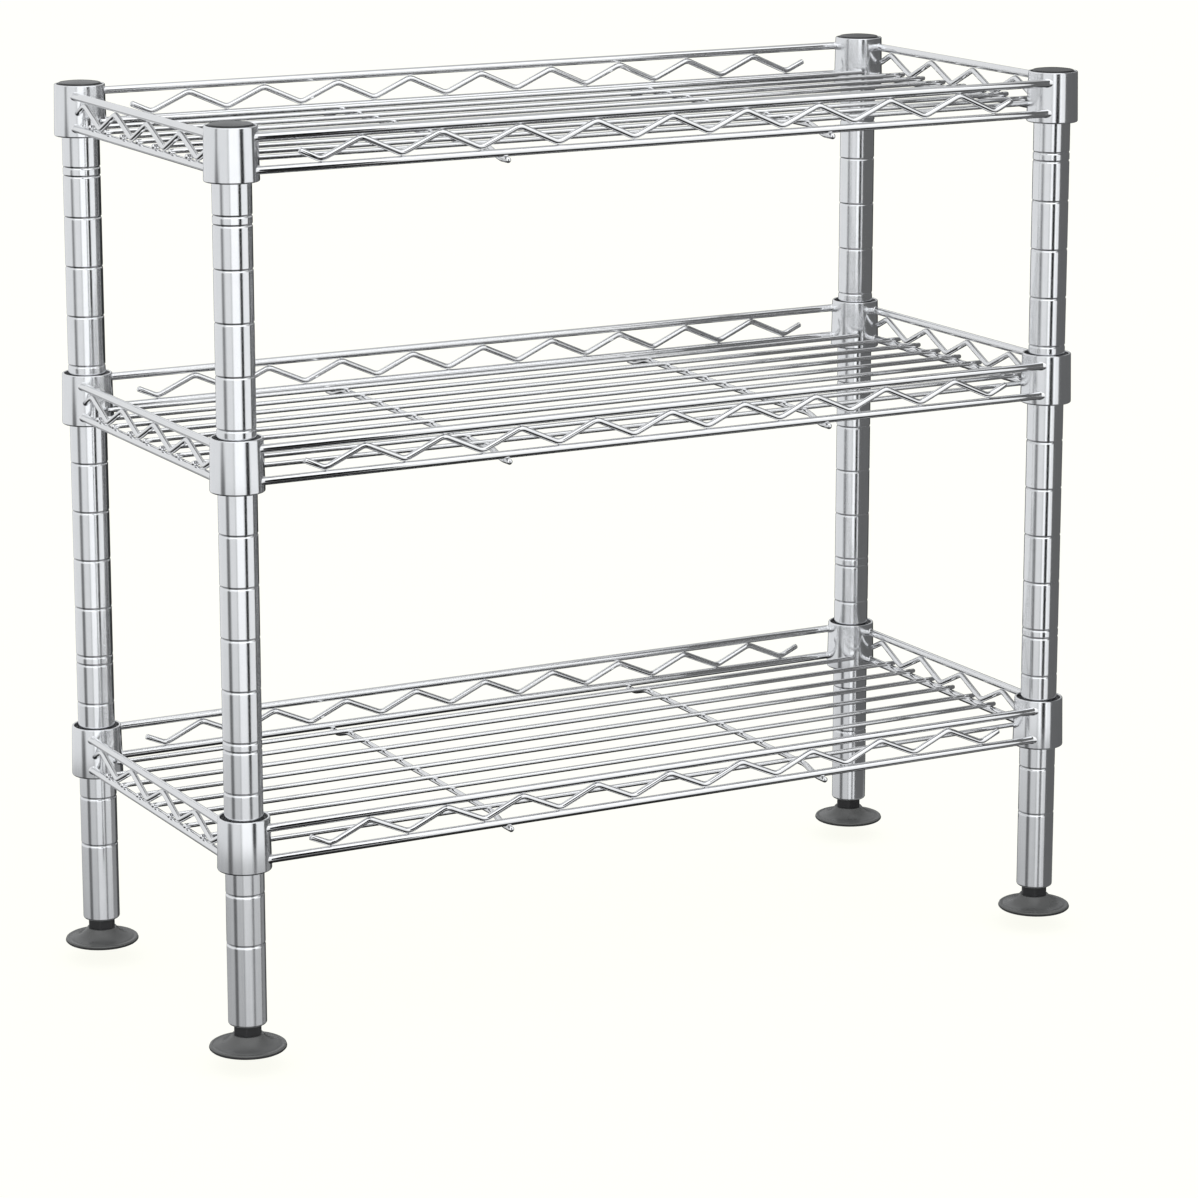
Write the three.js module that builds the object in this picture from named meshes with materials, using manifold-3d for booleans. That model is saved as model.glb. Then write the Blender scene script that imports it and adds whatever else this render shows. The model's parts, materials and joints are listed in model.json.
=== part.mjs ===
// A small chrome wire rack: four grooved tube posts carry three welded wire
// shelves. Each shelf hangs on its posts by four tapered corner collars, and
// each collar is wedged on a split plastic sleeve whose inside ridge meets a
// groove of the post. A levelling foot is screwed into the bottom of each post.
//
// Units are millimetres and +Z is up. +X runs to the right along the long side,
// +Y runs to the back, and the origin is on the floor under the middle.

import * as THREE from 'three';
import { mergeVertices } from 'three/addons/utils/BufferGeometryUtils.js';
import Module from 'manifold-3d';

const wasm = await Module();
wasm.setup();

// Posts.
const postSpanX = 462; // between post centre lines, left to right
const postSpanY = 188.4; // between post centre lines, front to back
const postRadius = 9.5;
const postWall = 1;
const postLength = 437.6;
const postLift = 12.6; // height of the post's lower end above the floor

// Grooves rolled into each post, counted from the top.
const groovePitch = 25.4;
const grooveDepth = 0.45;
const grooveWidth = 1;
const firstGroove = 15.6; // from the post's top end to the first groove
const plainEnd = 38; // shortest ungrooved length at the post's lower end
const twinGap = 4.4; // from a marker groove to the second groove under it
const twinEvery = 10; // grooves from one marker pair to the next
const firstTwin = 1; // index of the first marker pair

// Shelves, by the height of their collars' upper rims.
const topRimRise = 1; // top shelf's rims above the posts' upper ends
const shelfDrops = { top: 0, middle: 147.7, bottom: 334 }; // below the top shelf

// Corner collars, a little wider at the lower rim. Their radius follows from
// the post and the split sleeve inside them.
const collarHeight = 26.2;
const collarFlare = 0.55; // lower rim's radius over the upper rim's
const collarWall = 1.2;

// Rails of the shelf edges, measured down from the collars' upper rims.
const railRadius = 2;
const longRailOffset = 8.4; // front and back rails, outside the post centres
const endRailOffset = 6.6; // left and right rails, outside the post centres
const longRailDepths = [5.2, 20.8];
const endRailDepths = [5.2, 21.3];
const railOverlap = 7.4; // how near a long rail's end comes to the post centre

// Bent bracing wire between the rails.
const braceWidth = 3;
const braceStep = 21; // from one bend to the next, front and back
const braceEndRoom = 36; // least room from the last bend to the post centre
const weldSink = 0.5; // depth of a weld between wires of one piece

// Deck wires that carry the shoes, and the two wires across under them.
const deckRadius = 1.25;
const deckPitch = 20.2;
const deckEdgeRoom = 10; // least room from the last wire to the post centres
const deckOverhang = 1.5; // deck wire beyond the centre of the end rail
const crossWidth = 3;
const crossX = 91.3; // cross wires, left and right of the middle
const crossOverhang = 4; // cross wire beyond the centre of the long rail
const crossBendStart = 4; // from the last deck wire to the start of the bend
const crossBendRoom = 6; // from the end of the bend to the long rail

// Split sleeves between the posts and the collars.
const sleeveBoreGap = 0.35;
const sleeveTopWall = 1.4; // measured at the collar's upper rim
const ridgeGap = 0.12;
const ridgeHeight = 1.4; // where it leaves the bore
const ridgeLand = 0.7; // height of its flat
const sleeveRecess = 1.5; // below the collar's upper rim
const sleeveSlit = 0.8;

// Top caps.
const capBrim = 1.15; // cap's radius over the post's
const capEdge = 1.3;
const capCrown = 0.9;
const capShoulderReach = 0.75; // radius of the crown's bend, as a share of the cap's
const capShoulderRise = 0.7; // height of that bend, as a share of the crown's
const capPlugLength = 12;
const capPlugWall = 1.3;

// Levelling feet.
const padRadius = 19;
const padEdge = 1.9;
const padChamfer = 0.57; // at the underside
const padConeTop = 7;
const padConeStep = 0.67; // cone's upper radius over the neck's corners
const padFloor = 3; // solid plastic under the stud
const neckAcrossFlats = 12.7;
const studRadius = 4;
const studChamfer = 0.8;
const studEngagement = 18; // length of stud above the post's lower end
const insertLength = 14;

// Clearances and mesh fineness.
const gap = 0.3; // between pieces that touch
const weldGap = 0.2; // between wires welded across two pieces
const roundSides = 12;
const padSides = 24;
const railSides = 8;
const wireSides = 6;

const postTop = postLift + postLength;
const collarTopRadius = postRadius + sleeveBoreGap + sleeveTopWall + gap + collarWall;
const collarBottomRadius = collarTopRadius + collarFlare;
const capRadius = postRadius + capBrim;
const neckRadius = neckAcrossFlats / Math.sqrt(3);
const postX = postSpanX / 2;
const postY = postSpanY / 2;
const corners = {
  front_left: [-postX, -postY],
  front_right: [postX, -postY],
  back_left: [-postX, postY],
  back_right: [postX, postY],
};

const chrome = new THREE.MeshStandardMaterial({ color: 0xdcdee0, roughness: 0.12, metalness: 1 });
const zincSteel = new THREE.MeshStandardMaterial({ color: 0xa9abad, roughness: 0.4, metalness: 1 });
const greyPlastic = new THREE.MeshStandardMaterial({ color: 0x46474a, roughness: 0.5, metalness: 0 });
const blackPlastic = new THREE.MeshStandardMaterial({ color: 0x1d1d1f, roughness: 0.55, metalness: 0 });

// ---- Solids -------------------------------------------------------------

// The closed solid of a geometry, with its shared corners merged.
function solid(geometry) {
  const plain = geometry.clone();
  plain.deleteAttribute('normal');
  plain.deleteAttribute('uv');
  const merged = mergeVertices(plain);
  const corner = merged.index.array;
  const kept = [];
  for (let i = 0; i < corner.length; i += 3) {
    const [a, b, c] = corner.slice(i, i + 3);
    if (a !== b && b !== c && c !== a) kept.push(a, b, c);
  }
  return new wasm.Manifold(new wasm.Mesh({
    numProp: 3,
    vertProperties: new Float32Array(merged.attributes.position.array),
    triVerts: new Uint32Array(kept),
  }));
}

function geometryOf(manifold) {
  const mesh = manifold.getMesh();
  const geometry = new THREE.BufferGeometry();
  geometry.setAttribute('position', new THREE.BufferAttribute(mesh.vertProperties, 3));
  geometry.setIndex(new THREE.BufferAttribute(mesh.triVerts, 1));
  return geometry;
}

// A solid of revolution about Z. The profile is a list of [radius, height].
function turned(profile, sides) {
  const points = profile.map(([radius, height]) => new THREE.Vector2(radius, height));
  return new THREE.LatheGeometry(points, sides).rotateX(Math.PI / 2);
}

// A tapered plug between two heights, used whole or as a cutter.
function taper(bottomRadius, topRadius, bottom, top) {
  const profile = [[0, bottom], [bottomRadius, bottom], [topRadius, top], [0, top]];
  return solid(turned(profile, roundSides));
}

// A straight rod centred on the origin, lying along X, with a flat side up.
function rodAlongX(length, radius, sides) {
  const rod = new THREE.CylinderGeometry(radius, radius, length, sides, 1, false, Math.PI / sides);
  return rod.rotateZ(Math.PI / 2);
}

// A bent flat-sided wire through [run, height] points, standing in the XZ plane.
// The strip keeps its width across the slope, and the ends are cut upright.
function bentStrip(points, width) {
  const upper = [];
  const lower = [];
  points.forEach(([run, height], i) => {
    const before = points[Math.max(i - 1, 0)];
    const after = points[Math.min(i + 1, points.length - 1)];
    const stretch = (from, to) => Math.hypot(to[0] - from[0], to[1] - from[1]) / (to[0] - from[0]);
    const first = before === points[i] ? stretch(points[i], after) : stretch(before, points[i]);
    const second = after === points[i] ? first : stretch(points[i], after);
    const half = (width / 4) * (first + second);
    upper.push(new THREE.Vector2(run, height + half));
    lower.unshift(new THREE.Vector2(run, height - half));
  });
  const strip = new THREE.ExtrudeGeometry(new THREE.Shape([...upper, ...lower]), {
    depth: width,
    bevelEnabled: false,
  });
  return strip.translate(0, 0, -width / 2).rotateX(Math.PI / 2);
}

// ---- Posts, caps and feet ----------------------------------------------

function grooveHeights() {
  const heights = [];
  const count = Math.floor((postLength - firstGroove - plainEnd) / groovePitch) + 1;
  for (let i = 0; i < count; i += 1) {
    const height = postTop - firstGroove - i * groovePitch;
    heights.push({ height, twin: i % twinEvery === firstTwin });
  }
  return heights;
}

function postTube() {
  const outer = [];
  const addGroove = (height) => {
    outer.push([postRadius, height + grooveWidth / 2]);
    outer.push([postRadius - grooveDepth, height]);
    outer.push([postRadius, height - grooveWidth / 2]);
  };
  for (const { height, twin } of grooveHeights()) {
    addGroove(height);
    if (twin) addGroove(height - twinGap);
  }
  const bore = postRadius - postWall;
  const profile = [[bore, postTop], [postRadius, postTop], ...outer];
  profile.push([postRadius, postLift], [bore, postLift], [bore, postTop]);
  return turned(profile.reverse(), roundSides);
}

function topCap() {
  const plug = postRadius - postWall - gap;
  const seat = postTop + gap;
  return turned([
    [0, seat - capPlugWall],
    [plug - capPlugWall, seat - capPlugWall],
    [plug - capPlugWall, seat - capPlugLength],
    [plug, seat - capPlugLength],
    [plug, seat],
    [capRadius, seat],
    [capRadius, seat + capEdge],
    [capRadius * capShoulderReach, seat + capEdge + capCrown * capShoulderRise],
    [0, seat + capEdge + capCrown],
  ], roundSides);
}

function threadedInsert() {
  const outside = postRadius - postWall - gap;
  const hole = studRadius + gap;
  const top = postLift + insertLength;
  return turned([
    [hole, postLift],
    [outside, postLift],
    [outside, top],
    [hole, top],
    [hole, postLift],
  ], roundSides);
}

function footStud() {
  const bottom = padFloor + gap;
  const top = postLift + studEngagement;
  return turned([
    [0, bottom],
    [studRadius, bottom],
    [studRadius, top - studChamfer],
    [studRadius - studChamfer, top],
    [0, top],
  ], roundSides);
}

function footPad() {
  const disc = solid(turned([
    [0, 0],
    [padRadius - padChamfer, 0],
    [padRadius, padChamfer],
    [padRadius, padEdge],
    [neckRadius + padConeStep, padConeTop],
    [0, padConeTop],
  ], padSides));
  const neckTop = postLift - gap;
  const neck = new THREE.CylinderGeometry(neckRadius, neckRadius, neckTop - padEdge, 6);
  neck.rotateX(Math.PI / 2).translate(0, 0, (neckTop + padEdge) / 2);
  const hole = taper(studRadius + gap, studRadius + gap, padFloor, postLift);
  return geometryOf(disc.add(solid(neck)).subtract(hole));
}

// ---- Shelf pieces, with the collars' upper rims at height 0 --------------

function collarRadiusAt(depth) {
  return THREE.MathUtils.mapLinear(depth, 0, collarHeight, collarTopRadius, collarBottomRadius);
}

// The collar's outer form, grown by a margin and longer than the collar.
function collarForm(margin, longer) {
  return taper(
    collarRadiusAt(collarHeight + longer) + margin,
    collarRadiusAt(-longer) + margin,
    -collarHeight - longer,
    longer,
  );
}

// Bends of the bracing wire as [run, height], low and high by turns, with a
// half-height tail at both ends.
function braceBends(count, step, depths) {
  const reach = railRadius + braceWidth / 2 - weldSink;
  const high = -depths[0] - reach;
  const low = -depths[1] + reach;
  const middle = (high + low) / 2;
  const end = ((count - 1) / 2) * step;
  const bends = [[-end - step / 2, middle]];
  for (let i = 0; i < count; i += 1) bends.push([i * step - end, i % 2 === 0 ? low : high]);
  bends.push([end + step / 2, middle]);
  return bends;
}

// One long edge: two rails with the bracing wire between them. side is -1 for
// the front and 1 for the back.
function longTruss(side) {
  const y = side * (postY + longRailOffset);
  const count = 2 * Math.floor((postX - braceEndRoom) / braceStep) + 1;
  let truss = solid(bentStrip(braceBends(count, braceStep, longRailDepths), braceWidth));
  for (const depth of longRailDepths) {
    const rail = rodAlongX(postSpanX - 2 * railOverlap, railRadius, railSides);
    truss = truss.add(solid(rail.translate(0, 0, -depth)));
  }
  truss = truss.translate([0, y, 0]);
  for (const x of [-postX, postX]) {
    truss = truss.subtract(collarForm(gap, 1).translate([x, side * postY, 0]));
  }
  return geometryOf(truss);
}

function deckWireCount() {
  return 2 * Math.floor((postY - deckEdgeRoom) / deckPitch) + 1;
}

// One short edge: two collars, two rails and the bracing wire. side is -1 for
// the left and 1 for the right.
function endFrame(side) {
  const x = side * (postX + endRailOffset);
  const brace = bentStrip(braceBends(deckWireCount() - 1, deckPitch, endRailDepths), braceWidth);
  let frame = solid(brace.rotateZ(Math.PI / 2).translate(x, 0, 0));
  for (const depth of endRailDepths) {
    const rail = rodAlongX(postSpanY - 2 * railOverlap, railRadius, railSides);
    frame = frame.add(solid(rail.rotateZ(Math.PI / 2).translate(x, 0, -depth)));
  }
  for (const y of [-postY, postY]) {
    frame = frame.add(collarForm(0, 0).translate([side * postX, y, 0]));
  }
  for (const y of [-postY, postY]) {
    frame = frame.subtract(collarForm(-collarWall, 1).translate([side * postX, y, 0]));
  }
  return geometryOf(frame);
}

function deckDepth() {
  return endRailDepths[1] - railRadius - deckRadius - weldGap;
}

// Half the length of a deck wire. A wire too near the posts to pass their
// collars stops where it meets them.
function deckHalfLength(y) {
  const reach = collarBottomRadius + deckRadius + gap;
  const beside = postY - Math.abs(y);
  if (beside < reach) return postX - Math.sqrt(reach ** 2 - beside ** 2);
  return postX + endRailOffset + deckOverhang;
}

// A cross wire lies under the deck wires and dips to pass under both long rails.
function crossWire() {
  const high = -deckDepth() - deckRadius - crossWidth / 2 + weldSink;
  const low = -longRailDepths[1] - railRadius - crossWidth / 2 - weldGap;
  const rail = postY + longRailOffset;
  const lastWire = ((deckWireCount() - 1) / 2) * deckPitch;
  const back = [
    [lastWire + crossBendStart, high],
    [rail - crossBendRoom, low],
    [rail + crossOverhang, low],
  ];
  const front = back.map(([run, height]) => [-run, height]).reverse();
  return bentStrip([...front, ...back], crossWidth).rotateZ(Math.PI / 2);
}

function deck() {
  const count = deckWireCount();
  let mat = solid(crossWire().translate(-crossX, 0, 0)).add(solid(crossWire().translate(crossX, 0, 0)));
  for (let i = 0; i < count; i += 1) {
    const y = (i - (count - 1) / 2) * deckPitch;
    const wire = rodAlongX(2 * deckHalfLength(y), deckRadius, wireSides);
    mat = mat.add(solid(wire.translate(0, y, -deckDepth())));
  }
  return geometryOf(mat);
}

// The groove nearest the middle of a collar whose rim is at this height.
function grooveNear(rim) {
  const middle = rim - collarHeight / 2;
  const heights = grooveHeights().map((groove) => groove.height);
  return heights.reduce((best, height) => (
    Math.abs(height - middle) < Math.abs(best - middle) ? height : best));
}

// One half of a split sleeve: side -1 is the left half, 1 the right half.
function sleeveHalf(rim, side) {
  const bore = postRadius + sleeveBoreGap;
  const ridge = postRadius + ridgeGap;
  const ridgeMiddle = grooveNear(rim) - rim;
  const bottomRadius = collarBottomRadius - collarWall - gap;
  const topRadius = collarRadiusAt(sleeveRecess) - collarWall - gap;
  const ring = solid(turned([
    [bore, -collarHeight],
    [bottomRadius, -collarHeight],
    [topRadius, -sleeveRecess],
    [bore, -sleeveRecess],
    [bore, ridgeMiddle + ridgeHeight / 2],
    [ridge, ridgeMiddle + ridgeLand / 2],
    [ridge, ridgeMiddle - ridgeLand / 2],
    [bore, ridgeMiddle - ridgeHeight / 2],
    [bore, -collarHeight],
  ], roundSides));
  const wide = 4 * collarBottomRadius;
  const cutter = new THREE.BoxGeometry(wide, wide, 4 * collarHeight);
  cutter.translate(-side * (wide / 2 - sleeveSlit / 2), 0, 0);
  return geometryOf(ring.subtract(solid(cutter)));
}

// ---- Assembly -----------------------------------------------------------

function place(group, name, geometry, material, x = 0, y = 0) {
  const mesh = new THREE.Mesh(geometry, material.clone());
  mesh.name = name;
  mesh.position.set(x, y, 0);
  group.add(mesh);
}

function buildPosts() {
  const group = new THREE.Group();
  for (const [corner, [x, y]] of Object.entries(corners)) {
    place(group, `post_${corner}`, postTube(), chrome, x, y);
    place(group, `cap_${corner}`, topCap(), greyPlastic, x, y);
    place(group, `insert_${corner}`, threadedInsert(), zincSteel, x, y);
    place(group, `stud_${corner}`, footStud(), zincSteel, x, y);
    place(group, `foot_${corner}`, footPad(), greyPlastic, x, y);
  }
  return group;
}

function buildShelf(level, drop) {
  const group = new THREE.Group();
  const rim = postTop + topRimRise - drop;
  group.position.z = rim;
  place(group, `${level}_front_truss`, longTruss(-1), chrome);
  place(group, `${level}_back_truss`, longTruss(1), chrome);
  place(group, `${level}_left_end`, endFrame(-1), chrome);
  place(group, `${level}_right_end`, endFrame(1), chrome);
  place(group, `${level}_deck`, deck(), chrome);
  for (const [corner, [x, y]] of Object.entries(corners)) {
    const outward = Math.sign(x);
    place(group, `${level}_sleeve_${corner}_outer`, sleeveHalf(rim, outward), blackPlastic, x, y);
    place(group, `${level}_sleeve_${corner}_inner`, sleeveHalf(rim, -outward), blackPlastic, x, y);
  }
  return group;
}

const rack = new THREE.Group();
rack.add(buildPosts());
for (const [level, drop] of Object.entries(shelfDrops)) rack.add(buildShelf(level, drop));

export default rack;
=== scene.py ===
# %% [markdown]
# # A small chrome wire rack
# The rack has four grooved tube posts, three welded wire shelves and four levelling feet. Its measured
# model is loaded first, as a frame that never moves. Each step below then makes one kind of piece finely
# enough to catch the light as plated wire does, and lets the piece ride on the body of the frame that it
# belongs to.

# %% Load the frame
import json
import math

import bpy
import numpy as np
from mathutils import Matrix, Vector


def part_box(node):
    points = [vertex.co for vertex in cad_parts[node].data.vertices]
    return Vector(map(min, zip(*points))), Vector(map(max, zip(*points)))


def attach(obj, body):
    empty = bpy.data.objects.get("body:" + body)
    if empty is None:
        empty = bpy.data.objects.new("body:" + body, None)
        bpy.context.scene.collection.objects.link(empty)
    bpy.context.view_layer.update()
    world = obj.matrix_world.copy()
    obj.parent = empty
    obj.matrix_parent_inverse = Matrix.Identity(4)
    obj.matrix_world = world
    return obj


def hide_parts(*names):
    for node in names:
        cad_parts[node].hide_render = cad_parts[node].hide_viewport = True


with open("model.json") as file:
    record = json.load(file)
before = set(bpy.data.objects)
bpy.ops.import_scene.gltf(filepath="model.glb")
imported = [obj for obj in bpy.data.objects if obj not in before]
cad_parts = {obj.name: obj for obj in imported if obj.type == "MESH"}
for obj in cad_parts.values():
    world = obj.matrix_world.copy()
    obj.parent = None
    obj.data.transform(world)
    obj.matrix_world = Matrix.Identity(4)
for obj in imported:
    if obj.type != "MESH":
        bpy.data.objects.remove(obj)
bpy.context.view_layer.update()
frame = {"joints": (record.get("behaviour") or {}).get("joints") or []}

scene = bpy.context.scene

# %% [markdown]
# ## Where things stand
# The frame is in metres. Wires of two or three millimetres are easier to think about in millimetres, so
# every shape is worked out in millimetres and scaled once, when it becomes a mesh. The posts' centres and
# the heights of the shelves are read from the frame, so the fine pieces land where the measured ones are.

# %% Places read from the frame
MM = 0.001
CORNERS = ("front_left", "front_right", "back_left", "back_right")
LEVELS = ("top", "middle", "bottom")


def frame_box(node):
    """Lowest and highest corner of a node of the frame, in millimetres."""
    low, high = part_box(node)
    return np.array(low) / MM, np.array(high) / MM


def centre_of(node):
    """The middle of a node's box seen from above."""
    low, high = frame_box(node)
    return (low[:2] + high[:2]) / 2


POST = {corner: centre_of(f"post_{corner}") for corner in CORNERS}
POST_X = abs(POST["front_left"][0])
POST_Y = abs(POST["front_left"][1])
RIM = {level: frame_box(f"{level}_left_end")[1][2] for level in LEVELS}
post_low, post_high = frame_box("post_front_left")
POST_RADIUS = (post_high[0] - post_low[0]) / 2
POST_FOOT, POST_HEAD = post_low[2], post_high[2]
print("posts at", POST_X, POST_Y, "radius", round(POST_RADIUS, 2))
print("rims at", {level: round(rim, 1) for level, rim in RIM.items()})

# %% [markdown]
# ## Surfaces as grids
# Almost everything here is either turned about an upright axis or drawn along a path. Both are one grid of
# points: one direction goes round, the other goes along. A loop over points would be slow and hard to read,
# so numpy works out the whole grid at once, and one helper lays faces over any grid. A grid is closed
# either by joining its last ring to its first, as for a hollow tube, or by a fan of triangles to a pole at
# each end.


# %% Faces over a grid of rings
def skin(rings, poles=None):
    """Points and faces of the surface through rings[i, j], where i counts along it and j round it.

    Face (i, j) joins points j and j + 1 of ring i to the same points of ring i + 1. Without poles the last
    ring joins the first. With two poles, each end ring is closed by a fan to its pole.
    """
    count, sides = rings.shape[:2]
    here = np.arange(count * sides).reshape(count, sides)
    points = rings.reshape(-1, 3)
    if poles is None:
        here = np.vstack([here, here[:1]])
    beside = np.roll(here, -1, axis=1)
    quads = np.stack([here[:-1], beside[:-1], beside[1:], here[1:]], axis=-1).reshape(-1, 4).tolist()
    if poles is None:
        return points, quads
    first = np.full(sides, len(points))
    fans = np.vstack([
        np.stack([beside[0], here[0], first], axis=-1),
        np.stack([here[-1], beside[-1], first + 1], axis=-1),
    ]).tolist()
    return np.vstack([points, poles]), quads + fans


def softened(outline, reach, steps=5, closed=True):
    """An outline with its corners rounded.

    At a corner C the curve starts reach before C at P and ends reach after C at Q. Its points are
    (1 - s)^2 P + 2 s (1 - s) C + s^2 Q for s from 0 to 1. An open outline keeps its two ends.
    """
    corner = np.asarray(outline, float)
    to_last = np.roll(corner, 1, axis=0) - corner
    to_next = np.roll(corner, -1, axis=0) - corner
    reach = np.broadcast_to(reach, len(corner))[:, None]
    start = corner + to_last / np.linalg.norm(to_last, axis=1, keepdims=True) * reach
    end = corner + to_next / np.linalg.norm(to_next, axis=1, keepdims=True) * reach
    s = np.linspace(0, 1, steps)[None, :, None]
    curve = (1 - s) ** 2 * start[:, None] + 2 * s * (1 - s) * corner[:, None] + s**2 * end[:, None]
    if closed:
        return curve.reshape(-1, corner.shape[1])
    return np.vstack([corner[:1], curve[1:-1].reshape(-1, corner.shape[1]), corner[-1:]])


# %% Turning a profile
def full_turn(sides):
    """The directions 2 pi j / sides, for j from 0 to sides - 1."""
    return 2 * np.pi * np.arange(sides) / sides


def around(centre, radius, turn, height):
    """Points at centre + radius (cos turn, sin turn) and at height, as one grid from whole arrays."""
    height = np.broadcast_to(height, np.broadcast(radius, turn).shape)
    return np.stack([centre[0] + radius * np.cos(turn), centre[1] + radius * np.sin(turn), height], axis=-1)


def turned(profile, centre, sides=64, poles=False):
    """A profile of (radius, height) rows turned about the upright line through centre.

    Point (i, j) is at radius r_i in the direction 2 pi j / sides, at height z_i. The profile runs up the
    outside. With poles its first and last heights are closed on the axis.
    """
    profile = np.asarray(profile, float)
    rings = around(centre, profile[:, :1], full_turn(sides), profile[:, 1:])
    ends = [[*centre, profile[0, 1]], [*centre, profile[-1, 1]]]
    return skin(rings, np.array(ends) if poles else None)


# %% Drawing a wire along a path
DOME = np.radians(np.linspace(0, 80, 5))
UP = np.array([0.0, 0.0, 1.0])


def wire(path, radius, along, origin, sides=16, dome=0.5):
    """A round wire along a path of (run, height) rows, standing in the upright plane through origin.

    At each point of the path the tangent t and the upright normal n give the ring
    P + radius (cos a * side + sin a * n), where side = up x along. Both ends are domed by dome times the
    radius: the rings shrink as cos q while they move out as sin q.
    """
    path = np.asarray(path, float)
    tangent = np.gradient(path, axis=0)
    tangent /= np.linalg.norm(tangent, axis=1, keepdims=True)
    bulge = dome * radius
    first = path[0] - tangent[0] * bulge * np.sin(DOME[:0:-1, None])
    last = path[-1] + tangent[-1] * bulge * np.sin(DOME[1:, None])
    shrink = np.concatenate([np.cos(DOME[:0:-1]), np.ones(len(path)), np.cos(DOME[1:])])
    tips = [path[0] - tangent[0] * bulge, path[-1] + tangent[-1] * bulge]
    ends = len(DOME) - 1
    path = np.vstack([first, path, last])
    tangent = np.vstack([np.repeat(tangent[:1], ends, 0), tangent, np.repeat(tangent[-1:], ends, 0)])
    along = np.asarray(along, float)
    side = np.cross(UP, along)

    def placed(pairs):
        """(run, height) pairs as points in the plane."""
        return np.asarray(origin) + pairs[..., :1] * along + pairs[..., 1:] * UP

    normal = -tangent[:, 1:] * along + tangent[:, :1] * UP
    turn = full_turn(sides)
    spoke = np.cos(turn)[:, None] * side + np.sin(turn)[:, None] * normal[:, None]
    rings = placed(path)[:, None] + radius * shrink[:, None, None] * spoke
    return skin(rings, placed(np.array(tips)))


# %% [markdown]
# ## Making a piece
# A piece is one mesh in the place where it belongs, with its object at the origin. It rides on a body,
# stands for the coarse nodes that it refines, and takes its finish as its material.
# Curved faces are shaded smooth, and edges sharper than a limit stay crisp.

# %% One helper for every piece
SHARP = math.radians(38)
made = {}


def piece(name, surfaces, finish, slot, body, *nodes):
    """Joins surfaces of (points, faces) in millimetres into one mesh and ties it to the frame."""
    start = np.cumsum([0] + [len(points) for points, _ in surfaces])
    points = np.vstack([points for points, _ in surfaces]) * MM
    faces = [
        [at + corner for corner in face]
        for at, (_, some) in zip(start.tolist(), surfaces)
        for face in some
    ]
    mesh = bpy.data.meshes.new(name)
    mesh.from_pydata(points.tolist(), [], faces)
    mesh.materials.append(finish)
    mesh.shade_smooth()
    mesh.set_sharp_from_angle(angle=SHARP)
    thing = bpy.data.objects.new(name, mesh)
    scene.collection.objects.link(thing)
    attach(thing, body)
    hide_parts(*nodes)
    made[name] = len(faces)
    return thing


# %% [markdown]
# ## Fine marks shared by the finishes
# Plating is never perfect: it has a faint orange-peel waviness, and polishing leaves a haze that is
# stronger in some places. Moulded plastic has a fine spark-eroded grain and a sheen that varies. Each
# effect is a node group, so that several finishes can use it with their own numbers, and the shader stays
# in each material.

# %% Helpers for shader nodes
def new_group(name, inputs, outputs):
    """An empty shader group with number inputs {name: default} and outputs {name: socket type}."""
    group = bpy.data.node_groups.new(name, "ShaderNodeTree")
    for label, value in inputs.items():
        socket = group.interface.new_socket(label, in_out="INPUT", socket_type="NodeSocketFloat")
        socket.default_value = value
    for label, kind in outputs.items():
        group.interface.new_socket(label, in_out="OUTPUT", socket_type=kind)
    return group, group.nodes.new("NodeGroupInput"), group.nodes.new("NodeGroupOutput")


def math_node(tree, operation, first, second):
    """A Math node over two sockets or numbers, as its output socket."""
    node = tree.nodes.new("ShaderNodeMath")
    node.operation = operation
    for slot_in, value in zip(node.inputs, (first, second)):
        if isinstance(value, (int, float)):
            slot_in.default_value = value
        else:
            tree.links.new(value, slot_in)
    return node.outputs[0]


def noise_node(tree, vector, scale, detail=2.0):
    """A noise of 0 to 1 over a vector, as its output socket. scale is a number or a socket."""
    node = tree.nodes.new("ShaderNodeTexNoise")
    node.inputs["Detail"].default_value = detail
    tree.links.new(vector, node.inputs["Vector"])
    if isinstance(scale, (int, float)):
        node.inputs["Scale"].default_value = scale
    else:
        tree.links.new(scale, node.inputs["Scale"])
    return node.outputs["Fac"]


# %% Plating marks
STREAK_SCALE = 900.0
PEEL_SCALE = 160.0


def plating_marks():
    """Roughness = base + haze * cloud * fine streaks, and a wavy height for the bump."""
    group, given, gives = new_group(
        "plating_marks",
        {"Base roughness": 0.05, "Haze": 0.08, "Cloud scale": 25.0, "Streak": 1.0},
        {"Roughness": "NodeSocketFloat", "Height": "NodeSocketFloat"},
    )
    place = group.nodes.new("ShaderNodeTexCoord").outputs["Object"]
    stretch = group.nodes.new("ShaderNodeCombineXYZ")
    stretch.inputs[0].default_value = 1.0
    stretch.inputs[1].default_value = 1.0
    group.links.new(given.outputs["Streak"], stretch.inputs[2])
    drawn = group.nodes.new("ShaderNodeVectorMath")
    drawn.operation = "MULTIPLY"
    group.links.new(place, drawn.inputs[0])
    group.links.new(stretch.outputs[0], drawn.inputs[1])
    cloud = noise_node(group, place, given.outputs["Cloud scale"], 3.0)
    streak = noise_node(group, drawn.outputs[0], STREAK_SCALE)
    mask = math_node(group, "MULTIPLY", cloud, streak)
    haze = math_node(group, "MULTIPLY", mask, given.outputs["Haze"])
    rough = math_node(group, "ADD", given.outputs["Base roughness"], haze)
    group.links.new(rough, gives.inputs["Roughness"])
    peel = noise_node(group, place, PEEL_SCALE)
    group.links.new(math_node(group, "ADD", peel, streak), gives.inputs["Height"])
    return group


PLATING = plating_marks()


# %% Moulded grain
UNEVEN_SCALE = 60.0
LOWEST_SHADE = 0.3


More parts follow.
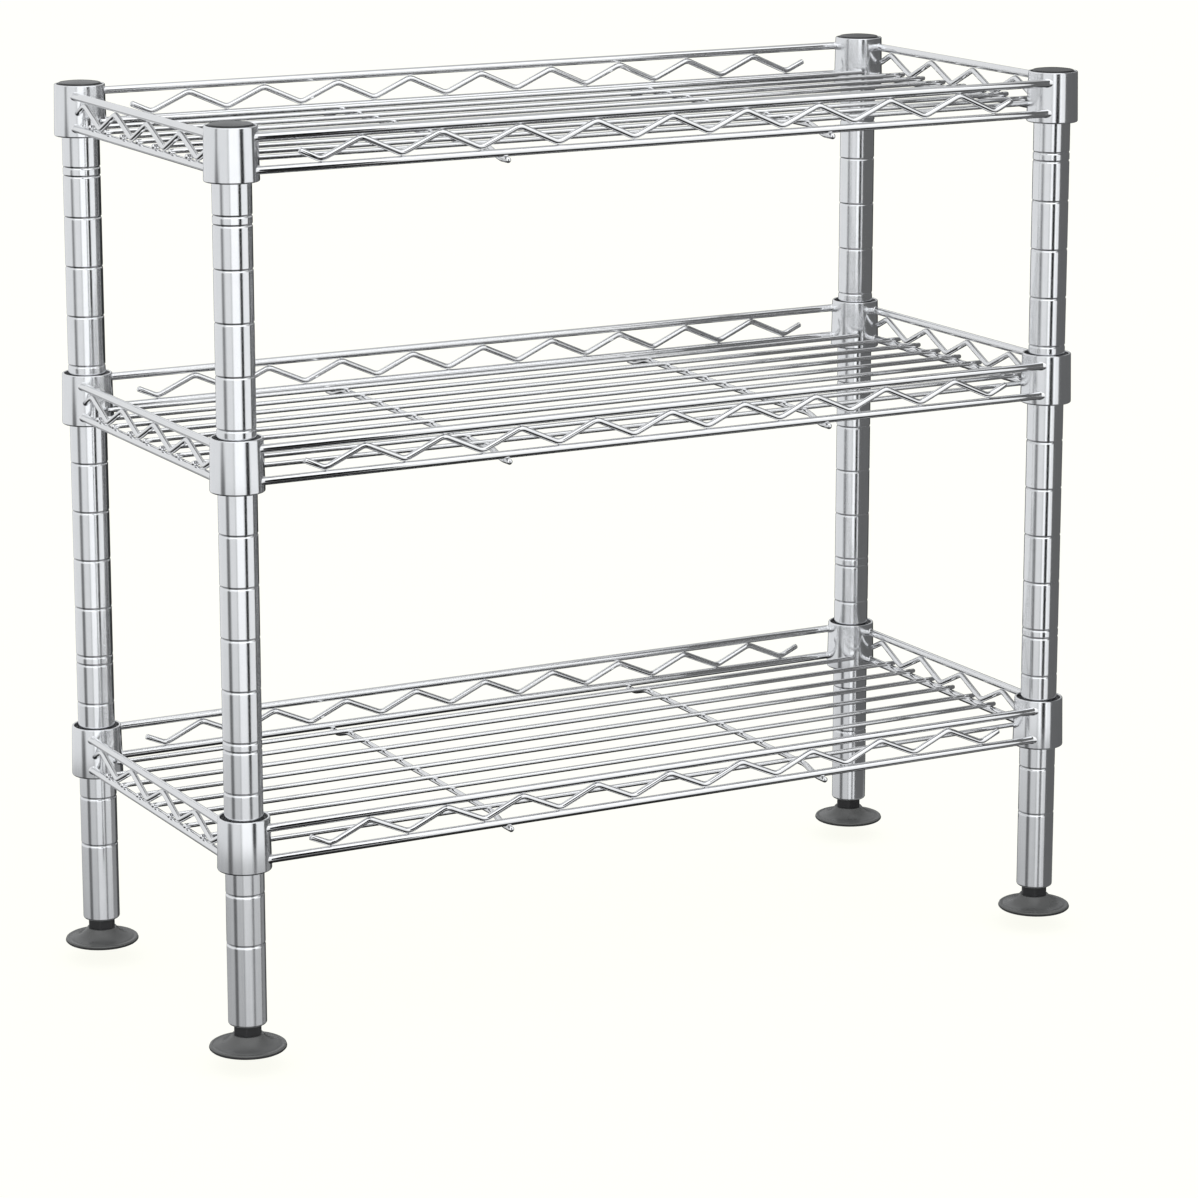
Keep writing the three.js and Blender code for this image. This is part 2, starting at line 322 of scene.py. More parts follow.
def moulded_grain():
    """Colour strength, roughness and height of moulded plastic: a fine grain over a slow unevenness."""
    group, given, gives = new_group(
        "moulded_grain",
        {"Base roughness": 0.45, "Spread": 0.15, "Grain scale": 2500.0},
        {"Shade": "NodeSocketFloat", "Roughness": "NodeSocketFloat", "Height": "NodeSocketFloat"},
    )
    place = group.nodes.new("ShaderNodeTexCoord").outputs["Object"]
    slow = noise_node(group, place, UNEVEN_SCALE, 4.0)
    grain = noise_node(group, place, given.outputs["Grain scale"], 1.0)
    spread = math_node(group, "MULTIPLY", slow, given.outputs["Spread"])
    rough = math_node(group, "ADD", given.outputs["Base roughness"], spread)
    shade = math_node(group, "ADD", math_node(group, "MULTIPLY", slow, 1 - LOWEST_SHADE), LOWEST_SHADE)
    group.links.new(rough, gives.inputs["Roughness"])
    group.links.new(shade, gives.inputs["Shade"])
    group.links.new(grain, gives.inputs["Height"])
    return group


GRAIN = moulded_grain()
print("node groups:", PLATING.name, GRAIN.name)


# %% [markdown]
# ## The six finishes
# Chrome is a metal that is almost white and nearly mirror smooth, so what it reflects does most of the
# work. The posts and collars are drawn and buffed lengthwise, which gives them streaks along their length,
# and the wires are plated after welding, which leaves them brighter. The pads are dark grey plastic with a
# satin gloss, the caps are darker, and the sleeves are nearly black. The feet's soles and necks take the
# sleeves' near-black plastic as painted shade, for the shade along the pads' lower rims and under the posts.
# The hidden screws are dull zinc. One function makes every metal and another makes every plastic, so that a
# finish is only its tones, its gloss and the height of its bump.

# %% Metal finishes
METAL_BUMP = 0.6


def finish_with(name, group, values, metallic):
    """A material whose Principled shader takes its roughness and bump from a marks group."""
    material = bpy.data.materials.new(name)
    material.use_nodes = True
    tree = material.node_tree
    shader = tree.nodes["Principled BSDF"]
    shader.inputs["Metallic"].default_value = metallic
    marks = tree.nodes.new("ShaderNodeGroup")
    marks.node_tree = group
    for label, value in values.items():
        marks.inputs[label].default_value = value
    bump = tree.nodes.new("ShaderNodeBump")
    tree.links.new(marks.outputs["Roughness"], shader.inputs["Roughness"])
    tree.links.new(marks.outputs["Height"], bump.inputs["Height"])
    tree.links.new(bump.outputs["Normal"], shader.inputs["Normal"])
    return material, tree, shader, marks, bump


def tinted(tree, mask, low, high, shader):
    """Base colour between low and high, chosen by a mask over the surface."""
    ramp = tree.nodes.new("ShaderNodeMix")
    ramp.data_type = "RGBA"
    ramp.inputs["A"].default_value = (*low, 1.0)
    ramp.inputs["B"].default_value = (*high, 1.0)
    tree.links.new(mask, ramp.inputs["Factor"])
    tree.links.new(ramp.outputs["Result"], shader.inputs["Base Color"])


def metal(name, low, high, values, bump_metres):
    """A plated metal: its tone drifts between low and high with the wavy height of the marks."""
    material, tree, shader, marks, bump = finish_with(name, PLATING, values, 1.0)
    bump.inputs["Strength"].default_value = METAL_BUMP
    bump.inputs["Distance"].default_value = bump_metres
    tinted(tree, math_node(tree, "MULTIPLY", marks.outputs["Height"], 0.5), low, high, shader)
    return material


wire_chrome = metal(
    "wire_chrome", (0.87, 0.875, 0.885), (0.96, 0.96, 0.965),
    {"Base roughness": 0.04, "Haze": 0.08, "Cloud scale": 40.0, "Streak": 1.0}, 1.5e-6,
)
tube_chrome = metal(
    "tube_chrome", (0.83, 0.84, 0.86), (0.93, 0.935, 0.945),
    {"Base roughness": 0.11, "Haze": 0.18, "Cloud scale": 18.0, "Streak": 0.03}, 2e-6,
)
zinc = metal(
    "zinc_plate", (0.50, 0.51, 0.52), (0.72, 0.73, 0.74),
    {"Base roughness": 0.28, "Haze": 0.30, "Cloud scale": 300.0, "Streak": 1.0}, 2e-5,
)


# %% Plastic finishes
PLASTIC_BUMP = 0.5


def plastic(name, low, high, values, bump_metres):
    """A moulded plastic: its tone and gloss drift slowly, and a fine grain breaks up the highlight."""
    material, tree, shader, marks, bump = finish_with(name, GRAIN, values, 0.0)
    bump.inputs["Strength"].default_value = PLASTIC_BUMP
    bump.inputs["Distance"].default_value = bump_metres
    tinted(tree, marks.outputs["Shade"], low, high, shader)
    return material


foot_plastic = plastic(
    "foot_plastic", (0.070, 0.071, 0.071), (0.135, 0.136, 0.134),
    {"Base roughness": 0.18, "Spread": 0.22, "Grain scale": 2600.0}, 1e-5,
)
cap_plastic = plastic(
    "cap_plastic", (0.018, 0.018, 0.019), (0.034, 0.034, 0.036),
    {"Base roughness": 0.20, "Spread": 0.16, "Grain scale": 2600.0}, 1e-5,
)
sleeve_plastic = plastic(
    "sleeve_plastic", (0.010, 0.010, 0.011), (0.022, 0.022, 0.024),
    {"Base roughness": 0.42, "Spread": 0.15, "Grain scale": 3000.0}, 2e-5,
)
finishes = (wire_chrome, tube_chrome, zinc, foot_plastic, cap_plastic, sleeve_plastic)
print("finishes:", [finish.name for finish in finishes])

# %% [markdown]
# ## Grooved posts
# A groove is rolled into the tube every inch, for the shelves' sleeves to clip on. Rolling pulls the wall
# in with a soft shoulder, and never cuts a sharp edge. So the groove is a cosine dip in the profile, and
# the whole post is one profile turned about its axis. A doubled groove marks every tenth place. The lower
# end of the tube is closed in a little where the insert is pressed in.

# %% Post profile
PITCH = 25.4
FIRST_GROOVE = 15.6
GROOVE_COUNT = 16
TWIN_GAP = 4.4
TWINS = (1, 11)
GROOVE_DEPTH = 0.45
GROOVE_REACH = 0.85
PLAIN_RING = 0.3
POST_WALL = 1.0
HEAD_EDGE = 0.35
HEAD_DEPTH = 2.0
FOOT_EDGE = 1.1
FOOT_CURL = 0.2
groove = POST_HEAD - FIRST_GROOVE - PITCH * np.arange(GROOVE_COUNT)
groove = np.sort(np.concatenate([groove, groove[list(TWINS)] - TWIN_GAP]))


def post_profile():
    """Outside: radius - depth (1 + cos(pi u / reach)) / 2 within reach of each groove. Inside: the bore.

    One plain ring stands just outside each groove, so that the long plain parts are lit as straight tube.
    """
    u = np.linspace(-GROOVE_REACH, GROOVE_REACH, 11)
    u = np.concatenate([[-GROOVE_REACH - PLAIN_RING], u, [GROOVE_REACH + PLAIN_RING]])
    within = np.clip(u / GROOVE_REACH, -1, 1)
    dip = GROOVE_DEPTH * (1 + np.cos(np.pi * within)) / 2
    height = (groove[:, None] + u).ravel()
    radius = POST_RADIUS - np.tile(dip, len(groove))
    outside = np.stack([radius, height], axis=-1)
    bore = POST_RADIUS - POST_WALL
    arc = np.radians([-80, -65, -50, -35, -20, -8, 0, 0])  # the last is lifted to a plain ring
    foot_turn = np.stack([
        POST_RADIUS - FOOT_EDGE + FOOT_EDGE * np.cos(arc),
        POST_FOOT + FOOT_EDGE + FOOT_EDGE * np.sin(arc),
    ], axis=-1)
    foot_turn[-1, 1] += PLAIN_RING
    under_head = POST_HEAD - HEAD_DEPTH
    head = [[POST_RADIUS, under_head], [POST_RADIUS, POST_HEAD], [bore, POST_HEAD], [bore, under_head]]
    head = softened(head, HEAD_EDGE, closed=False)
    inside = [[bore, POST_FOOT + 2 * FOOT_EDGE], [bore - FOOT_CURL, POST_FOOT + FOOT_CURL]]
    return np.vstack([foot_turn, outside, head, inside])


for corner in CORNERS:
    piece(f"grooved_post_{corner}", [turned(post_profile(), POST[corner], 72)],
          tube_chrome, "chrome", "posts", f"post_{corner}")
print("grooves:", len(groove), "post faces:", made["grooved_post_front_left"])

# %% [markdown]
# ## Caps
# A cap is a thin moulded disc with a hollow plug that holds it in the tube. Its edge is rounded and its
# crown is barely domed, so that it carries one long soft highlight.

# %% Post caps
cap_low, cap_high = frame_box("cap_front_left")
CAP_RADIUS = (cap_high[0] - cap_low[0]) / 2
CAP_TOP = cap_high[2]
CAP_SEAT = CAP_TOP - 2.2
CAP_CROWN = 0.8
CAP_EDGE = 0.6
PLUG_GAP = 0.2
PLUG_RADIUS = POST_RADIUS - POST_WALL - PLUG_GAP
PLUG_WALL = 1.3
PLUG_LEAD = (0.3, 1.5)


def cap_profile():
    """Out inside the hollow plug, down and up its wall, over the rim, then a crown that falls as radius^2."""
    plug = [
        [0.6, CAP_SEAT - PLUG_WALL],
        [PLUG_RADIUS - PLUG_WALL, CAP_SEAT - PLUG_WALL],
        [PLUG_RADIUS - PLUG_WALL, cap_low[2]],
        [PLUG_RADIUS - PLUG_LEAD[0], cap_low[2]],
        [PLUG_RADIUS, cap_low[2] + PLUG_LEAD[1]],
        [PLUG_RADIUS, CAP_SEAT],
        [CAP_RADIUS, CAP_SEAT],
    ]
    edge = CAP_RADIUS - CAP_EDGE
    arc = np.radians(np.linspace(0, 75, 6))
    rim_top = CAP_TOP - CAP_CROWN
    rim = np.stack([edge + CAP_EDGE * np.cos(arc), rim_top - CAP_EDGE + CAP_EDGE * np.sin(arc)], axis=-1)
    reach = np.linspace(edge, 0.4, 12)
    crown = np.stack([reach, rim_top + CAP_CROWN * (1 - (reach / edge) ** 2)], axis=-1)
    return np.vstack([softened(plug, 0.25, closed=False), rim, crown])


for corner in CORNERS:
    piece(f"moulded_cap_{corner}", [turned(cap_profile(), POST[corner], 64, poles=True)],
          cap_plastic, "grey_plastic", "posts", f"cap_{corner}")
print("cap radius", round(CAP_RADIUS, 2), "top", round(CAP_TOP, 2))

# %% [markdown]
# ## Levelling feet
# A foot is a grey saucer on a thin sole, with a hexagonal neck to turn it by, a threaded stud moulded into
# the neck, and a threaded insert pressed into the tube. The sole and the neck are near-black as painted
# shade:
# the sole paints the shade along the saucer's lower rim, and the neck paints the shade under the post. The
# saucer is hollowed like a bell, so it is turned from a curve. The hexagon is the same kind of turned surface
# with its radius changed by direction: flat sides have radius apothem / cos(angle from the middle of the
# side), held back a little near the corners to round them. The thread is a turned surface whose radius
# depends on height and direction together, which makes a true helix.

# %% Pads with their necks
pad_low, pad_high = frame_box("foot_front_left")
stud_low, stud_high = frame_box("stud_front_left")
insert_low, insert_high = frame_box("insert_front_left")
PAD_RADIUS = (pad_high[0] - pad_low[0]) / 2
NECK_TOP = pad_high[2]
STUD_RADIUS = (stud_high[0] - stud_low[0]) / 2
FOOT_SIDES = 96
NECK_APOTHEM = 6.35
NECK_FOOT = 4.0
CORNER_HOLD = 1.115  # a true hexagon reaches 2 / sqrt(3) = 1.155 apothems at its corners
HOLLOW_RADIUS = 12.0
HOLLOW_DEPTH = 0.5
SOLE_TOP = 1.15
PAD_EDGE = 1.9
CONE_TOP = 7.2
CONE_RADIUS = 7.6
LIP_AT, LIP_WIDTH, LIP_DEPTH = 0.13, 0.07, 0.28


def sole_profile():
    """A thin disc, hollowed underneath, with a rounded rim."""
    sole = [
        [0.5, HOLLOW_DEPTH],
        [HOLLOW_RADIUS, HOLLOW_DEPTH],
        [HOLLOW_RADIUS + 0.6, 0.0],
        [PAD_RADIUS - 0.5, 0.0],
        [PAD_RADIUS, 0.5],
        [PAD_RADIUS, SOLE_TOP - 0.2],
        [PAD_RADIUS - 0.3, SOLE_TOP],
        [0.5, SOLE_TOP],
    ]
    return softened(sole, 0.12, closed=False)


def saucer_profile():
    """From the sole over a low rim, then a saucer that rises as 0.15 s + 0.85 s^3 towards the neck.

    A shallow ring, shaped as exp(-u^2), is sunk into the saucer just inside its rim.
    """
    rim = [
        [0.5, SOLE_TOP],
        [PAD_RADIUS - 0.25, SOLE_TOP],
        [PAD_RADIUS - 0.25, PAD_EDGE - 0.3],
        [PAD_RADIUS - 0.7, PAD_EDGE],
    ]
    share = np.linspace(0, 1, 30)[1:]
    radius = (PAD_RADIUS - 0.9) + (CONE_RADIUS - PAD_RADIUS + 0.9) * share
    lip = LIP_DEPTH * np.exp(-(((share - LIP_AT) / LIP_WIDTH) ** 2))
    rise = PAD_EDGE + (CONE_TOP - PAD_EDGE) * (0.15 * share + 0.85 * share**3) - lip
    cone = np.stack([radius, rise], axis=-1)
    return np.vstack([softened(rim, 0.1, closed=False), cone, [[3.0, CONE_TOP]]])


def neck_surface(centre):
    """A ring whose outside is a rounded hexagon and whose inside is the hole of the stud."""
    turn = full_turn(FOOT_SIDES)
    from_side = (turn % (np.pi / 3)) - np.pi / 6
    hexagon = np.minimum(1 / np.cos(from_side), CORNER_HOLD)
    hole = STUD_RADIUS + 0.1
    outside = [[hole, NECK_FOOT], [NECK_APOTHEM, NECK_FOOT], [NECK_APOTHEM, NECK_TOP], [hole, NECK_TOP]]
    outside = softened(outside, 0.35)
    share = (outside[:, 0] - hole) / (NECK_APOTHEM - hole)
    radius = outside[:, :1] * (1 + share[:, None] * (hexagon - 1))
    return skin(around(centre, radius, turn, outside[:, 1:]))


for corner in CORNERS:
    piece(f"moulded_foot_{corner}", [turned(saucer_profile(), POST[corner], FOOT_SIDES, poles=True)],
          foot_plastic, "grey_plastic", f"foot_pad_{corner}", f"foot_{corner}")
    # The sole and the neck get the near-black sleeve plastic as painted shade: the shade along the saucer's
    # lower rim and under the post.
    piece(f"shade_painted_sole_and_neck_{corner}",
          [turned(sole_profile(), POST[corner], FOOT_SIDES, poles=True), neck_surface(POST[corner])],
          sleeve_plastic, "sleeve_plastic", f"foot_pad_{corner}", f"foot_{corner}")
print("pad radius", round(PAD_RADIUS, 2), "neck top", round(NECK_TOP, 2))

# %% Threaded studs and inserts
THREAD_PITCH = 1.25
THREAD_DEPTH = 0.6
STEPS_PER_TURN = 8
STUD_SIDES = 40
STUD_TIP = 0.3
BARBS = 5
BARB_DEPTH = 0.5
BARB_EDGE = 0.2


def stud_surface(centre):
    """A helical thread: with f = |2 frac(z / pitch - turn) - 1|, radius = R - depth (1 - e (1 - f)).

    The factor e is 1 along the stud and fades to 0 at both ends, where the stud is down to the root.
    """
    turn = np.arange(STUD_SIDES) / STUD_SIDES
    step = THREAD_PITCH / STEPS_PER_TURN
    height = np.arange(stud_low[2] + STUD_TIP, stud_high[2] - STUD_TIP, step)[:, None]
    flank = np.abs(2 * ((height / THREAD_PITCH - turn) % 1) - 1)
    ends = np.clip(np.minimum(height - stud_low[2], stud_high[2] - height), 0, 1)
    radius = STUD_RADIUS - THREAD_DEPTH * (1 - ends * (1 - flank))
    poles = [[*centre, stud_low[2]], [*centre, stud_high[2]]]
    return skin(around(centre, radius, 2 * np.pi * turn, height), np.array(poles))


def insert_profile():
    """A pressed-in nut: a row of barbs outside, and a plain bore just wider than the stud."""
    outer = (insert_high[0] - insert_low[0]) / 2
    bore = STUD_RADIUS + 0.25
    foot, head = insert_low[2] + 0.2, insert_high[2]
    barb_at = np.repeat(np.linspace(foot + 2, head - 2, BARBS), 2)
    barbs = np.stack([
        np.tile([outer - BARB_DEPTH, outer], BARBS),
        barb_at + np.tile([-BARB_EDGE, BARB_EDGE], BARBS),
    ], axis=-1)
    flange = [[bore, foot], [outer, foot], [outer, foot + 1]]
    top = [[outer - 0.6, head], [bore, head]]
    return np.vstack([flange, barbs, top])


for corner in CORNERS:
    piece(f"threaded_stud_{corner}", [stud_surface(POST[corner])],
          zinc, "zinc_steel", f"foot_screw_{corner}", f"stud_{corner}")
    piece(f"pressed_insert_{corner}", [turned(insert_profile(), POST[corner], 48)],
          zinc, "zinc_steel", "posts", f"insert_{corner}")
print("stud faces:", made["threaded_stud_front_left"])

# %% [markdown]
# ## Collars and sleeves
# A shelf corner is a short tube, a little wider at its foot, that wedges on a split plastic sleeve. The
# collar's rims are rounded where the steel was cut and plated. The sleeve is made in two halves, with a
# ridge inside that sits at a groove of the post, so it is a profile turned through half a circle and closed
# at both cuts.

# %% Collar and sleeve sizes
COLLAR_HEIGHT = RIM["top"] - frame_box("top_left_end")[0][2]
COLLAR_TOP = 12.75
COLLAR_FOOT = 13.3
COLLAR_WALL = 1.2
SLEEVE_BORE = POST_RADIUS + 0.35
SLEEVE_RECESS = 1.5
SLEEVE_GAP = 0.15
RIDGE = 0.23
RIDGE_FOOT, RIDGE_TOP = 0.7, 0.35
SLIT = 0.8


def collar_radius(depth):
    """Outer radius of a collar at a depth below its rim."""
    return COLLAR_TOP + (COLLAR_FOOT - COLLAR_TOP) * depth / COLLAR_HEIGHT


def collar_surface(centre, rim):
    """A hollow taper: up the outside, over the rounded rim and down the inside."""
    foot = rim - COLLAR_HEIGHT
    outline = [
        [COLLAR_FOOT - COLLAR_WALL, foot],
        [COLLAR_FOOT, foot],
        [COLLAR_TOP, rim],
        [COLLAR_TOP - COLLAR_WALL, rim],
    ]
    return turned(softened(outline, [0.35, 0.9, 0.65, 0.4], steps=7), centre, 80)


def groove_near(rim):
    """The single groove nearest the middle of the collar with this rim."""
    single = POST_HEAD - FIRST_GROOVE - PITCH * np.arange(GROOVE_COUNT)
    return single[np.argmin(np.abs(single - (rim - COLLAR_HEIGHT / 2)))]


def sleeve_surface(centre, rim, side):
    """Half a sleeve: its profile turned from -90 to 90 degrees, less the slit, about the side's direction."""
    foot, head = rim - COLLAR_HEIGHT, rim - SLEEVE_RECESS
    at = groove_near(rim)
    wall = COLLAR_WALL + SLEEVE_GAP
    outline = softened([
        [SLEEVE_BORE, foot],
        [COLLAR_FOOT - wall, foot],
        [collar_radius(SLEEVE_RECESS) - wall, head],
        [SLEEVE_BORE, head],
        [SLEEVE_BORE, at + RIDGE_FOOT],
        [SLEEVE_BORE - RIDGE, at + RIDGE_TOP],
        [SLEEVE_BORE - RIDGE, at - RIDGE_TOP],
        [SLEEVE_BORE, at - RIDGE_FOOT],
    ], 0.12, steps=3)
    spare = SLIT / 2 / SLEEVE_BORE
    turn = np.linspace(-np.pi / 2 + spare, np.pi / 2 - spare, 33)
    rings = around(centre, side * outline[:, :1], turn, outline[:, 1:])
    count, steps = rings.shape[:2]
    here = np.arange(count * steps).reshape(count, steps)
    after = np.roll(here, -1, axis=0)
    quads = np.stack([here[:, :-1], here[:, 1:], after[:, 1:], after[:, :-1]], axis=-1).reshape(-1, 4)
    cuts = [here[:, 0].tolist(), here[::-1, -1].tolist()]
    return rings.reshape(-1, 3), quads.tolist() + cuts


for level in LEVELS:
    for corner in CORNERS:
        outward = np.sign(POST[corner][0])
        for half, side in (("outer", outward), ("inner", -outward)):
            piece(f"{level}_split_sleeve_{corner}_{half}", [sleeve_surface(POST[corner], RIM[level], side)],
                  sleeve_plastic, "sleeve_plastic", f"{level}_shelf", f"{level}_sleeve_{corner}_{half}")
print("collar height", round(COLLAR_HEIGHT, 2), "sleeve faces", made["top_split_sleeve_front_left_outer"])

# %% [markdown]
# ## Rails
# Two rails run along each edge of a shelf and are welded to the collars. Where a round rod meets a round
# collar, its end is a saddle. That is a simple formula: each point of the rod's ring moves along the rod
# until it is at the collar's radius from the post's axis, so x = sqrt(R^2 - y^2). A few rings just off the
# collar swell as they come nearer, which makes the small fillet of a weld.

# %% Rails with welded ends
RAIL_RADIUS = 2.0
LONG_OFFSET = 8.4
END_OFFSET = 6.6
LONG_DEPTHS = (5.2, 20.8)
END_DEPTHS = (5.2, 21.3)
# How far each ring of the weld stands off the collar, and how much it swells.
WELD_RINGS = np.array([[-0.6, 0.35], [-0.05, 0.35], [0.15, 0.2], [0.45, 0.07], [1.0, 0.0]])
POLE_DEPTH = 0.8
PLAIN_RINGS = 9
PLAIN_FROM_COLLAR = 4.0


def rail(half_span, offset, depth, rim, along, sides=24):
    """A rod between two collars whose posts stand half_span to either side, offset outside the posts' line.

    Ring i lies on the cylinder about the post's axis with radius R + w_i, where R is the collar's. Its points
    are at offset + (r + s_i) cos a across and depth + (r + s_i) sin a up, and run to half_span - sqrt(...).
    """
    turn = full_turn(sides)
    swell = RAIL_RADIUS + WELD_RINGS[:, 1:]
    across = np.abs(offset) + swell * np.cos(turn)
    reach = np.sqrt((collar_radius(depth) + WELD_RINGS[:, :1]) ** 2 - across**2)
    run = half_span - reach
    height = np.broadcast_to(swell * np.sin(turn), run.shape)
    middle = np.linspace(-1, 1, PLAIN_RINGS)[:, None] * (half_span - COLLAR_FOOT - PLAIN_FROM_COLLAR)
    plain = np.stack([
        np.broadcast_to(middle, (PLAIN_RINGS, sides)),
        np.broadcast_to(np.abs(offset) + RAIL_RADIUS * np.cos(turn), (PLAIN_RINGS, sides)),
        np.broadcast_to(RAIL_RADIUS * np.sin(turn), (PLAIN_RINGS, sides)),
    ], axis=-1)
    far = np.stack([run, across, height], axis=-1)
    near = far * [-1, 1, 1]
    grid = np.vstack([near, plain, far[::-1]])
    along = np.asarray(along, float)
    outward = np.sign(offset) * np.cross(UP, along)
    grid = grid[:, :: int(np.sign(offset))]
    tip = half_span - math.sqrt((collar_radius(depth) - POLE_DEPTH) ** 2 - offset**2)
    inside = [[-tip, np.abs(offset), 0], [tip, np.abs(offset), 0]]

    def placed(points):
        """Points of (run, across, height) where the rail lies."""
        lengthwise = points[..., :1] * along
        sideways = points[..., 1:2] * outward
        return (rim - depth) * UP + lengthwise + sideways + points[..., 2:] * UP

    return placed(grid), placed(np.array(inside))


# %% [markdown]
# ## Zigzag bracing
# One bent wire runs between the two rails of an edge and is welded to them by turns. Its path is a zigzag
# with rounded bends, and both of its ends stop short at half height. Each weld is a small flattened bead.

# %% Bracing wire and weld beads
BRACE_RADIUS = 1.5
BEND_REACH = 2.6
SINK = 0.35
BEAD_SIZE = (0.95, 0.95, 0.5)
BEAD_ALONG = 1.5
X_DIR, Y_DIR = (1.0, 0.0, 0.0), (0.0, 1.0, 0.0)


def zigzag(count, step, depths):
    """Bends (run, height): low and high by turns, half a step of tail at each end, bends rounded."""
    reach = RAIL_RADIUS + BRACE_RADIUS - SINK
    level = np.where(np.arange(count) % 2 == 0, -depths[1] + reach, -depths[0] - reach)
    run = step * (np.arange(count) - (count - 1) / 2)
    middle = -(depths[0] + depths[1]) / 2
    tails = [[run[0] - step / 2, middle], [run[-1] + step / 2, middle]]
    path = np.vstack([tails[:1], np.stack([run, level], axis=-1), tails[1:]])
    return path, softened(path, BEND_REACH, 7, closed=False)


def beads(centres, size, sides=10, rows=5):
    """An ellipsoid of the given half sizes at each centre: rows of rings between two poles, all at once."""
    tilt = np.radians(np.linspace(-65, 65, rows))
    turn = full_turn(sides)
    ball = np.stack([
        np.cos(tilt)[:, None] * np.cos(turn),
        np.cos(tilt)[:, None] * np.sin(turn),
        np.broadcast_to(np.sin(tilt)[:, None], (rows, sides)),
    ], axis=-1)
    points, faces = skin(ball, np.array([[0, 0, -1.0], [0, 0, 1.0]]))
    points = np.asarray(centres)[:, None] + points * np.asarray(size)
    shift = np.arange(len(centres)) * points.shape[1]
    return points.reshape(-1, 3), [[k + c for c in face] for k in shift.tolist() for face in faces]


def brace(count, step, depths, offset_point, along, rim):
    """The bracing wire of one edge and its weld beads, as two surfaces."""
    path, smooth = zigzag(count, step, depths)
    origin = np.asarray(offset_point, float) + [0, 0, rim]
    bends = path[1:-1]
    toward = np.where(np.arange(count) % 2 == 0, -1.0, 1.0) * BRACE_RADIUS
    weld = origin + bends[:, :1] * np.asarray(along) + (bends[:, 1] + toward)[:, None] * UP
    size = np.abs(np.asarray(along)) * BEAD_ALONG + BEAD_SIZE
    return [wire(smooth, BRACE_RADIUS, along, origin), beads(weld, size)]


# %% Long edges
LONG_STEP = 21.0
LONG_BENDS = 19

for level in LEVELS:
    for name, side in (("front", -1), ("back", 1)):
        y = side * (POST_Y + LONG_OFFSET)
        surfaces = brace(LONG_BENDS, LONG_STEP, LONG_DEPTHS, (0, y, 0), X_DIR, RIM[level])
        for depth in LONG_DEPTHS:
            rings, poles = rail(POST_X, side * LONG_OFFSET, depth, RIM[level], X_DIR)
            surfaces.append(skin(rings + [0, side * POST_Y, 0], poles + [0, side * POST_Y, 0]))
        piece(f"{level}_{name}_edge", surfaces,
              wire_chrome, "chrome", f"{level}_shelf", f"{level}_{name}_truss")
print("long edge faces:", made["top_front_edge"])

# %% Short edges with their collars
END_STEP = 20.2
END_BENDS = 8

for level in LEVELS:
    for name, side in (("left", -1), ("right", 1)):
        x = side * (POST_X + END_OFFSET)
        surfaces = brace(END_BENDS, END_STEP, END_DEPTHS, (x, 0, 0), Y_DIR, RIM[level])
        for depth in END_DEPTHS:
            rings, poles = rail(POST_Y, -side * END_OFFSET, depth, RIM[level], Y_DIR)
            surfaces.append(skin(rings + [side * POST_X, 0, 0], poles + [side * POST_X, 0, 0]))
        piece(f"{level}_{name}_edge", surfaces,
              wire_chrome, "chrome", f"{level}_shelf", f"{level}_{name}_end")
        collars = [collar_surface((side * POST_X, y), RIM[level]) for y in (-POST_Y, POST_Y)]
        piece(f"{level}_{name}_collars", collars,
              tube_chrome, "chrome", f"{level}_shelf", f"{level}_{name}_end")
print("short edge faces:", made["top_left_edge"])

# %% [markdown]
# ## Decks
# Nine thin wires carry the shoes. They lie over the lower end rails, sag a little between them, and end just
# past them in rounded tips, but the two outermost stop just short of the collars. Two thicker wires cross
# under them and dip to pass under both long rails. All of them are the wire helper with other paths, and a
# flattened bead marks each weld.

# %% Deck wires and cross wires
DECK_RADIUS = 1.25
DECK_PITCH = 20.2
DECK_COUNT = 9
DECK_END = 18.1
DECK_SAG = 0.45
DECK_OVERHANG = 1.5
DECK_CLEAR = 0.3
DECK_BEAD = (1.5, 1.5, 0.5)
CROSS_X = 91.3
CROSS_HIGH = 20.75
CROSS_LOW = 24.25
CROSS_LEVEL_PAST_DECK = 4.0
CROSS_DOWN_BEFORE_RAIL = 6.0
CROSS_END_PAST_RAIL = 2.0
CROSS_BEND = 2.4


def deck_half_length(y):
    """Half a deck wire: past the end rail, or just short of the collars for a wire beside them."""
    clear = COLLAR_FOOT + DECK_RADIUS + DECK_CLEAR
    beside = POST_Y - abs(y)
    if beside < clear:
        return POST_X - math.sqrt(clear**2 - beside**2)
    return POST_X + END_OFFSET + DECK_OVERHANG


def deck_wire(y, rim):
    """height = -end - sag (1 - (x / half)^2), a shallow bow between the ends."""
    half = deck_half_length(y)
    run = np.linspace(-half, half, 25)
    height = -DECK_END - DECK_SAG * (1 - (run / half) ** 2)
    return wire(np.stack([run, height], axis=-1), DECK_RADIUS, X_DIR, (0, y, rim), sides=14, dome=0.8)


def cross_wire(x, rim):
    """Level under the deck wires, then down to a lower level under the long rails."""
    last = (DECK_COUNT - 1) / 2 * DECK_PITCH
    rail_y = POST_Y + LONG_OFFSET
    half = np.array([
        [last + CROSS_LEVEL_PAST_DECK, -CROSS_HIGH],
        [rail_y - CROSS_DOWN_BEFORE_RAIL, -CROSS_LOW],
        [rail_y + CROSS_END_PAST_RAIL, -CROSS_LOW],
    ])
    path = np.vstack([(half * [-1, 1])[::-1], half])
    return wire(softened(path, CROSS_BEND, 6, closed=False), BRACE_RADIUS, Y_DIR, (x, 0, rim))


